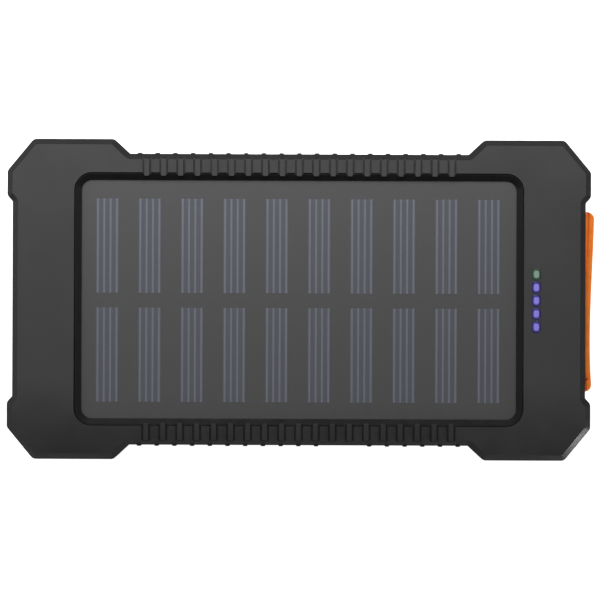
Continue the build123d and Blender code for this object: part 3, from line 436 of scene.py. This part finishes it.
# %% Geometry Nodes helpers
def node_group(name, inputs):
    """A geometry node group with named inputs, and a dict from each name to its identifier."""
    group = bpy.data.node_groups.new(name, "GeometryNodeTree")
    group.interface.new_socket("Geometry", in_out="OUTPUT", socket_type="NodeSocketGeometry")
    names = {}
    for label, kind in inputs:
        item = group.interface.new_socket(label, in_out="INPUT", socket_type=kind)
        names[label] = item.identifier
    return group, names


def grown(name, group, names, values):
    """Runs a group with these input values and returns its result as a plain mesh object."""
    holder = bpy.data.objects.new(name + "_source", bpy.data.meshes.new(name + "_source"))
    bpy.context.scene.collection.objects.link(holder)
    modifier = holder.modifiers.new("grow", "NODES")
    modifier.node_group = group
    for label, value in values.items():
        modifier[names[label]] = value
    bpy.context.view_layer.update()
    evaluated = holder.evaluated_get(bpy.context.evaluated_depsgraph_get())
    mesh = bpy.data.meshes.new_from_object(evaluated)
    bpy.data.objects.remove(holder)
    made = bpy.data.objects.new(name, mesh)
    bpy.context.scene.collection.objects.link(made)
    return made


print("node groups so far:", len(bpy.data.node_groups))

# %% Sizes of the cells, coats and lines
CELL_COLUMNS = 10
CELL_ROWS = 2
CELL_WIDTH = 5.5 * MM
CELL_GAP = 3.6 * MM  # between the two rows
LINES = 4
LINE_PITCH = 1.53 * MM
LINE_WIDTH = 0.45 * MM
LINE_HEIGHT = 0.03 * MM
COAT_HEIGHT = 0.03 * MM
cells_size = cells_high - cells_low
cells_middle = (cells_high + cells_low) / 2
cell_length = (cells_size.y - CELL_GAP) / CELL_ROWS
print("one cell in mm:", round(CELL_WIDTH / MM, 2), "by", round(cell_length / MM, 2))

# %% Node group for the coats and lines
group, names = node_group("cell_lines", [
    ("Columns", "NodeSocketInt"), ("Rows", "NodeSocketInt"), ("Lines", "NodeSocketInt"),
    ("Span X", "NodeSocketFloat"), ("Span Y", "NodeSocketFloat"), ("Line Span", "NodeSocketFloat"),
    ("Line Size", "NodeSocketVector"), ("Line Rise", "NodeSocketFloat"),
    ("Coat Size", "NodeSocketVector"), ("Centre", "NodeSocketVector"),
    ("Line Material", "NodeSocketMaterial"), ("Coat Material", "NodeSocketMaterial"),
])
given = add_node(group, "NodeGroupInput")
cells = add_node(group, "GeometryNodeMeshGrid", {
    "Size X": given.outputs["Span X"], "Size Y": given.outputs["Span Y"],
    "Vertices X": given.outputs["Columns"], "Vertices Y": given.outputs["Rows"],
})
row_ends = [
    add_node(group, "ShaderNodeMath", {0: given.outputs["Line Span"], 1: side / 2}, operation="MULTIPLY")
    for side in (-1, 1)
]
row_start, row_end = [
    add_node(group, "ShaderNodeCombineXYZ", {"X": end.outputs[0], "Z": given.outputs["Line Rise"]})
    for end in row_ends
]
row = add_node(group, "GeometryNodeMeshLine", {
    "Count": given.outputs["Lines"], "Start Location": row_start.outputs[0],
    "Offset": row_end.outputs[0],
}, mode="END_POINTS")
rows_on_cells = add_node(group, "GeometryNodeInstanceOnPoints", {
    "Points": cells.outputs["Mesh"], "Instance": row.outputs["Mesh"],
})
line_points = add_node(group, "GeometryNodeRealizeInstances", {"Geometry": rows_on_cells.outputs[0]})
bar = add_node(group, "GeometryNodeMeshCube", {"Size": given.outputs["Line Size"]})
bars = add_node(group, "GeometryNodeInstanceOnPoints", {
    "Points": line_points.outputs[0], "Instance": bar.outputs["Mesh"],
})
coat = add_node(group, "GeometryNodeMeshCube", {"Size": given.outputs["Coat Size"]})
coats = add_node(group, "GeometryNodeInstanceOnPoints", {
    "Points": cells.outputs["Mesh"], "Instance": coat.outputs["Mesh"],
})
joined = add_node(group, "GeometryNodeJoinGeometry")
for copies, material in ((bars, "Line Material"), (coats, "Coat Material")):
    placed = add_node(group, "GeometryNodeTransform", {
        "Geometry": copies.outputs[0], "Translation": given.outputs["Centre"],
    })
    real = add_node(group, "GeometryNodeRealizeInstances", {"Geometry": placed.outputs[0]})
    coated = add_node(group, "GeometryNodeSetMaterial", {
        "Geometry": real.outputs[0], "Material": given.outputs[material],
    })
    group.links.new(coated.outputs[0], joined.inputs[0])
add_node(group, "NodeGroupOutput", {"Geometry": joined.outputs[0]})
print("nodes in the group:", len(group.nodes))

# %% Grow the coats and lines
cell_lines = grown("cell_lines", group, names, {
    "Columns": CELL_COLUMNS, "Rows": CELL_ROWS, "Lines": LINES,
    "Span X": cells_size.x - CELL_WIDTH, "Span Y": cell_length + CELL_GAP,
    "Line Span": LINE_PITCH * (LINES - 1), "Line Size": (LINE_WIDTH, cell_length, LINE_HEIGHT),
    "Line Rise": (COAT_HEIGHT + LINE_HEIGHT) / 2, "Coat Size": (CELL_WIDTH, cell_length, COAT_HEIGHT),
    "Centre": (cells_middle.x, cells_middle.y, cells_high.z + COAT_HEIGHT / 2),
    "Line Material": silver, "Coat Material": silicon,
})
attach(cell_lines, "casing")
print("silver lines and coats:", len(cell_lines.data.polygons) // 6)


# %% [markdown]
# ## Indicator lights
# Each light is a clear acrylic pipe over a small diode. Lit, its middle glows and its edge stays
# dark, because light leaves the pipe straight up. The glow is worked out from the distance to the
# middle of each light, measured so that it grows faster towards a corner of the pipe, and wrapped
# at the lights' pitch, so that one material serves a whole column of them.

# %% Lit acrylic
LIGHT_PITCH = 3.2 * MM
LIGHT_HALF_WIDTH = 1.025 * MM
LIGHT_HALF_LENGTH = 1.4 * MM
SQUARENESS = 3.0  # 2 makes the glow's outline an ellipse, and more squares it up
GLOW_END = 0.13  # the glow fades out between these two values of that distance
DARK_START = 0.36
GLOW_STRENGTH = 0.10
light_low, light_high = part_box("charge_light_pipe")
light_x = (light_low.x + light_high.x) / 2
light_y = (light_low.y + light_high.y) / 2


def lit_acrylic(name, edge_hex, glow_hex):
    """A light pipe that glows in the middle and is dark at its edge."""
    made, tree, out = new_material(name)
    place = add_node(tree, "ShaderNodeTexCoord").outputs["Object"]
    parts = add_node(tree, "ShaderNodeSeparateXYZ", {"Vector": place})
    across = add_node(tree, "ShaderNodeMath", {0: parts.outputs["X"], 1: light_x}, operation="SUBTRACT")
    along = add_node(tree, "ShaderNodeMath", {0: parts.outputs["Y"], 1: light_y}, operation="SUBTRACT")
    wrapped = add_node(tree, "ShaderNodeMath", {
        0: along.outputs[0], 1: -LIGHT_PITCH / 2, 2: LIGHT_PITCH / 2,
    }, operation="WRAP")
    across_share = add_node(tree, "ShaderNodeMath", {
        0: across.outputs[0], 1: LIGHT_HALF_WIDTH,
    }, operation="DIVIDE")
    along_share = add_node(tree, "ShaderNodeMath", {
        0: wrapped.outputs[0], 1: LIGHT_HALF_LENGTH,
    }, operation="DIVIDE")
    powers = [add_node(tree, "ShaderNodeMath", {
        0: add_node(tree, "ShaderNodeMath", {0: share.outputs[0]}, operation="ABSOLUTE").outputs[0],
        1: SQUARENESS,
    }, operation="POWER").outputs[0] for share in (across_share, along_share)]
    distance = add_node(tree, "ShaderNodeMath", {0: powers[0], 1: powers[1]}, operation="ADD").outputs[0]
    glow = add_node(tree, "ShaderNodeValToRGB", {"Fac": distance}, stops=(
        (GLOW_END, linear(glow_hex)), (DARK_START, linear(edge_hex)),
    )).outputs["Color"]
    shader = add_node(tree, "ShaderNodeBsdfPrincipled", {
        "Base Color": glow, "Roughness": 0.25, "IOR": 1.49,
        "Emission Color": glow, "Emission Strength": GLOW_STRENGTH,
    })
    tree.links.new(shader.outputs[0], out.inputs["Surface"])
    return made


green_light = lit_acrylic("lit_acrylic_green", "#0a3014", "#647f70")
blue_light = lit_acrylic("lit_acrylic_blue", "#190a60", "#7269c0")
print("lights at x in mm:", round(light_x / MM, 2))

# %% [markdown]
# ## Torch lens
# The lens in the back is clear moulded polycarbonate. A thin clear plate needs no real refraction
# to be believed, so it is mostly transparent with a glossy skin.

# %% Clear polycarbonate
LENS_WAVE = 4 * MM
LENS_ALPHA = 0.22
lens_clear, tree, out = new_material("clear_polycarbonate")
place = add_node(tree, "ShaderNodeTexCoord").outputs["Object"]
wave = add_node(tree, "ShaderNodeTexNoise", {"Vector": place, "Scale": 1 / LENS_WAVE}).outputs["Fac"]
tint = add_node(tree, "ShaderNodeValToRGB", {"Fac": wave}, stops=(
    (NOISE_LOW, linear("#dfe3e6")), (NOISE_HIGH, linear("#eceff1")),
)).outputs["Color"]
shader = add_node(tree, "ShaderNodeBsdfPrincipled", {
    "Base Color": tint, "Roughness": 0.08, "IOR": 1.58, "Alpha": LENS_ALPHA,
})
tree.links.new(shader.outputs[0], out.inputs["Surface"])
print("lens lets through", 1 - LENS_ALPHA, "of the light")

# %% [markdown]
# ## Orange silicone
# The flap is compression-moulded silicone rubber: satin, slightly translucent, so light bleeds a
# little inside it and its thin edges look brighter. A weak subsurface share gives that.

# %% Silicone rubber
DRIFT = 2.5 * MM  # soft clouds in the colour
SKIN = 0.2 * MM  # fine texture of the mould
BLEED = 0.8 * MM  # how far light runs inside the rubber
silicone, tree, out = new_material("silicone_rubber_orange")
place = add_node(tree, "ShaderNodeTexCoord").outputs["Object"]
drift = add_node(tree, "ShaderNodeTexNoise", {
    "Vector": place, "Scale": 1 / DRIFT, "Detail": 4.0,
}).outputs["Fac"]
skin = add_node(tree, "ShaderNodeTexNoise", {
    "Vector": place, "Scale": 1 / SKIN, "Detail": 2.0,
}).outputs["Fac"]
orange = add_node(tree, "ShaderNodeValToRGB", {"Fac": drift}, stops=(
    (NOISE_LOW, linear("#d76e17")), (NOISE_HIGH, linear("#e37c22")),
)).outputs["Color"]
rough = add_node(tree, "ShaderNodeMapRange", {
    "Value": drift, "From Min": NOISE_LOW, "From Max": NOISE_HIGH,
    "To Min": 0.42, "To Max": 0.54,
}).outputs["Result"]
relief = add_node(tree, "ShaderNodeBump", {
    "Height": skin, "Strength": 0.2, "Distance": 0.01 * MM,
}).outputs["Normal"]
shader = add_node(tree, "ShaderNodeBsdfPrincipled", {
    "Base Color": orange, "Roughness": rough, "IOR": 1.41, "Normal": relief,
    "Subsurface Weight": 0.15, "Subsurface Radius": (0.9, 0.35, 0.12), "Subsurface Scale": BLEED,
})
tree.links.new(shader.outputs[0], out.inputs["Surface"])
print("light runs this far in the silicone, in mm:", round(BLEED / MM, 2))


# %% [markdown]
# The flap, its living hinge and its fixed end are one strip of silicone. The CAD needs two rigid
# solids for it, so here one strip stands for both. The strip is a row of cross-sections
# along the port end: each is a loop with a wide base and a narrower raised pad. Formulas round the
# ends in plan, bow the outer face, and thin the strip to a web from behind at the hinge.

# %% Sizes of the silicone strip
STRIP_LOW_Y = -22.15 * MM  # the fixed end; its head inside the wall is wider
STRIP_HIGH_Y = flap_high.y
MID_Z = hinge_point.z
BACK_X = 69.0 * MM
BASE_HALF = (flap_high.z - flap_low.z) / 2
PAD_INSET = 0.4 * MM
PAD_DEPTH = 1.75 * MM  # from the line round the pad to its outer face
FACE_SPOTS = [(-22.05 * MM, 71.45 * MM), (-3.5 * MM, 71.05 * MM), (10.0 * MM, 71.55 * MM),
              (21.55 * MM, 71.95 * MM)]  # (y, x) of the bowed outer face
END_ROUND = 1.8 * MM
EDGE_ROUND = 0.45 * MM
BASE_ROUND = 0.15 * MM
LINE_GAP = 0.6 * MM  # the line round the pad is a groove this wide
LINE_DIP = 0.4 * MM
LINE_FAINT = 0.25  # share of the dip that is left at the middle of the strip
WEB = 0.8 * MM
WEB_LINE = 0.1 * MM  # the section's back and its line draw together in the web
WEB_EDGE = 0.02 * MM
GROOVE_HALF = 0.15 * MM
ARC_STEPS = 5
print("strip in mm:", round((STRIP_HIGH_Y - STRIP_LOW_Y) / MM, 2), "by", round(2 * BASE_HALF / MM, 2))


# %% Formulas for the strip's shape
def outer_x(y):
    """The bowed outer face: the one cubic curve through its four spots."""
    total = 0.0
    for i, (spot, x) in enumerate(FACE_SPOTS):
        weight = 1.0
        for j, (other, _) in enumerate(FACE_SPOTS):
            if i != j:
                weight *= (y - other) / (spot - other)
        total += weight * x
    return total


def rounded_off(inside, radius):
    """How far a quarter circle has cut back, at this distance inside its edge."""
    if inside >= radius:
        return 0.0
    return radius - sqrt(max(radius * radius - (radius - inside) ** 2, 0.0))


def corner(x, z, radius):
    """Points round a quarter circle about (x, z), from its top to its outer side."""
    angles = [pi / 2 - pi / 2 * i / ARC_STEPS for i in range(ARC_STEPS + 1)]
    return [(x + radius * cos(angle), z + radius * sin(angle)) for angle in angles]


print("outer face at the hinge in mm:", round(outer_x(hinge_point.y) / MM, 2))


# %% One section of the strip
def strip_section(y):
    """The loop of (x, z) points of the strip's section at y, with z from its middle."""
    inside = min(y - STRIP_LOW_Y, STRIP_HIGH_Y - y)
    along = (y - STRIP_LOW_Y) / (STRIP_HIGH_Y - STRIP_LOW_Y)
    pad_front = outer_x(y) - rounded_off(inside, END_ROUND)
    pad_half = BASE_HALF - PAD_INSET - rounded_off(inside, EDGE_ROUND)
    front = min(outer_x(y) - PAD_DEPTH, pad_front - LINE_GAP - EDGE_ROUND)
    half = BASE_HALF - rounded_off(inside, EDGE_ROUND)
    off_middle = abs(2 * along - 1)
    dip = LINE_DIP * (LINE_FAINT + (1 - LINE_FAINT) * off_middle)
    back, gap, base_round = BACK_X, LINE_GAP, BASE_ROUND
    if abs(y - hinge_point.y) < GROOVE_HALF:
        back = outer_x(y) - WEB
        front, half, dip = back + WEB_LINE, pad_half + WEB_EDGE, 0.0
        gap, base_round = WEB_LINE, WEB_EDGE
    upper = [(back, half)]
    upper += corner(front - base_round, half - base_round, base_round)
    upper += [(front, pad_half - dip), (front + gap / 2, pad_half - dip), (front + gap, pad_half)]
    upper += corner(pad_front - EDGE_ROUND, pad_half - EDGE_ROUND, EDGE_ROUND)
    return upper + [(x, -z) for x, z in reversed(upper)]


print("points in a section:", len(strip_section(0.0)))

# %% [markdown]
# The sections stand closest where the shape changes fastest: at the edges of the web, and at both
# rounded ends, where their distance from the end grows with the square of their number.

# %% Places of the sections
END_STEPS = 8
PLAIN_STEPS = 60
FIXED_PART = 1.0 * MM  # one more section this far past the round of the fixed end
WEB_SHARES = (0.3, 0.6, 0.98, 1.0)  # of the way from the hinge line to the web's edge
end_places = [END_ROUND * (i / END_STEPS) ** 2 for i in range(END_STEPS + 1)]
plain_start = hinge_point.y + GROOVE_HALF
plain_length = STRIP_HIGH_Y - END_ROUND - plain_start
stations = [STRIP_LOW_Y + place for place in end_places]
stations += [STRIP_LOW_Y + END_ROUND + FIXED_PART, hinge_point.y]
stations += [hinge_point.y + side * GROOVE_HALF * share for side in (-1, 1) for share in WEB_SHARES]
stations += [plain_start + plain_length * (i + 1) / PLAIN_STEPS for i in range(PLAIN_STEPS)]
stations += [STRIP_HIGH_Y - place for place in end_places[:-1]]
stations = sorted(stations)
print("strip sections:", len(stations))

# %% Skin the sections
strip_bm = bmesh.new()
loops = [[strip_bm.verts.new((x, y, MID_Z + z)) for x, z in strip_section(y)] for y in stations]
for first, second in zip(loops, loops[1:]):
    count = len(first)
    for i in range(count):
        j = (i + 1) % count
        strip_bm.faces.new((first[i], first[j], second[j], second[i]))
strip_bm.faces.new(loops[0])
strip_bm.faces.new(list(reversed(loops[-1])))
bmesh.ops.recalc_face_normals(strip_bm, faces=strip_bm.faces)
strip_mesh = bpy.data.meshes.new("silicone_strip")
strip_bm.to_mesh(strip_mesh)
strip_bm.free()
strip = bpy.data.objects.new("silicone_strip", strip_mesh)
bpy.context.scene.collection.objects.link(strip)
print("strip faces:", len(strip_mesh.polygons))

# %% [markdown]
# Three plugs on the back of the flap push into the ports and hold it shut, and a stem with a wide
# head keys the fixed end into the end wall. Each is a rounded block that is merged into the strip,
# as one shot of rubber makes them all.

# %% Plugs and stem
PLUG_ROUND = 0.35 * MM
STEM_ROUND = 0.2 * MM
PLUG_SINK = 0.3 * MM  # how deep a block runs into the strip
PLUG_CLEAR = 0.55 * MM  # shell wall and clearance all round
USB_TIP_X = 67.9 * MM
MICRO_TIP_X = 68.1 * MM
STEM_HALF_WIDTH = 0.8 * MM
STEM_HALF_HEIGHT = 2.1 * MM
HEAD_HALF_WIDTH = 1.4 * MM  # it ends short of the bending web
HEAD_DEPTH = 1.7 * MM


def rounded_block(name, low, high, radius):
    """A box with every edge rounded."""
    bm = bmesh.new()
    bmesh.ops.create_cube(bm, size=1.0)
    for vertex in bm.verts:
        vertex.co = [low[i] if vertex.co[i] < 0 else high[i] for i in range(3)]
    bmesh.ops.bevel(bm, geom=bm.edges[:], offset=radius, segments=3, profile=0.5, affect="EDGES")
    bmesh.ops.recalc_face_normals(bm, faces=bm.faces)
    mesh = bpy.data.meshes.new(name)
    bm.to_mesh(mesh)
    bm.free()
    made = bpy.data.objects.new(name, mesh)
    bpy.context.scene.collection.objects.link(made)
    return made


root_x = BACK_X + PLUG_SINK
blocks = []
for node, tip_x in (("usb_port_1_shell", USB_TIP_X), ("usb_port_2_shell", USB_TIP_X),
                    ("micro_usb_shell", MICRO_TIP_X)):
    low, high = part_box(node)
    blocks.append(rounded_block(node + "_plug", (tip_x, low.y + PLUG_CLEAR, low.z + PLUG_CLEAR),
                                (root_x, high.y - PLUG_CLEAR, high.z - PLUG_CLEAR), PLUG_ROUND))
stem_y = (anchor_low.y + anchor_high.y) / 2
head_x = anchor_low.x + HEAD_DEPTH
for name, half_width, start_x, end_x in (("stem", STEM_HALF_WIDTH, head_x - STEM_ROUND, root_x),
                                         ("stem_head", HEAD_HALF_WIDTH, anchor_low.x, head_x)):
    blocks.append(rounded_block(name, (start_x, stem_y - half_width, MID_Z - STEM_HALF_HEIGHT),
                                (end_x, stem_y + half_width, MID_Z + STEM_HALF_HEIGHT), STEM_ROUND))
for block in blocks:
    union = strip.modifiers.new("union", "BOOLEAN")
    union.operation = "UNION"
    union.solver = "EXACT"
    union.object = block
    bpy.context.view_layer.update()
    merged = bpy.data.meshes.new_from_object(strip.evaluated_get(bpy.context.evaluated_depsgraph_get()))
    strip.modifiers.clear()
    strip.data = merged
    bpy.data.objects.remove(block)
strip.data.materials.clear()
strip.data.materials.append(silicone)
strip.data.shade_smooth()
strip.data.set_sharp_from_angle(angle=radians(40))
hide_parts("port_flap", "flap_anchor")
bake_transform(strip)
print("strip with plugs:", len(strip.data.polygons), "faces")

# %% [markdown]
# ## Finishes for the CAD pieces
# Every CAD piece gets the finish of its real material. The table is read one row at a time, so a
# piece can be repainted by changing one name.

# %% Paint the CAD pieces
paint = {
    "front_shell": case_abs, "rear_shell": case_abs, "panel_bezel": bezel_gloss,
    "solar_film": film, "solar_cells": silicon, "solar_backplane": backsheet, "panel_tape": tape,
    "charge_light_pipe": green_light, "level_light_pipes": blue_light, "indicator_leds": diode,
    "indicator_board": board_mask, "lower_battery_cell": pouch_foil, "upper_battery_cell": pouch_foil,
    "battery_foam_pads": foam, "battery_protection_board": board_mask, "main_board": board_mask,
    "board_screws": screw_steel, "power_inductor": ferrite, "power_chips": chip_epoxy,
    "board_capacitors": capacitor, "usb_port_1_shell": port_steel, "usb_port_2_shell": port_steel,
    "usb_port_1_core": core_nylon, "usb_port_2_core": core_nylon, "usb_contacts": contact_gold,
    "micro_usb_shell": port_steel, "micro_usb_core": core_nylon, "port_flap": silicone,
    "flap_anchor": silicone, "power_button": button_abs, "switch_plunger": switch_nylon,
    "tact_switch_body": switch_nylon, "torch_lens": lens_clear, "torch_leds": diode,
    "torch_reflector": reflector, "case_screws": screw_steel, "battery_lead_red": lead_red,
    "battery_lead_black": lead_black, "solar_lead_red": lead_red, "solar_lead_black": lead_black,
}
for name, node in frame["nodes"].items():
    node.data.materials.clear()
    node.data.materials.append(paint[name])
print("painted", len(paint), "of", len(frame["nodes"]), "pieces")
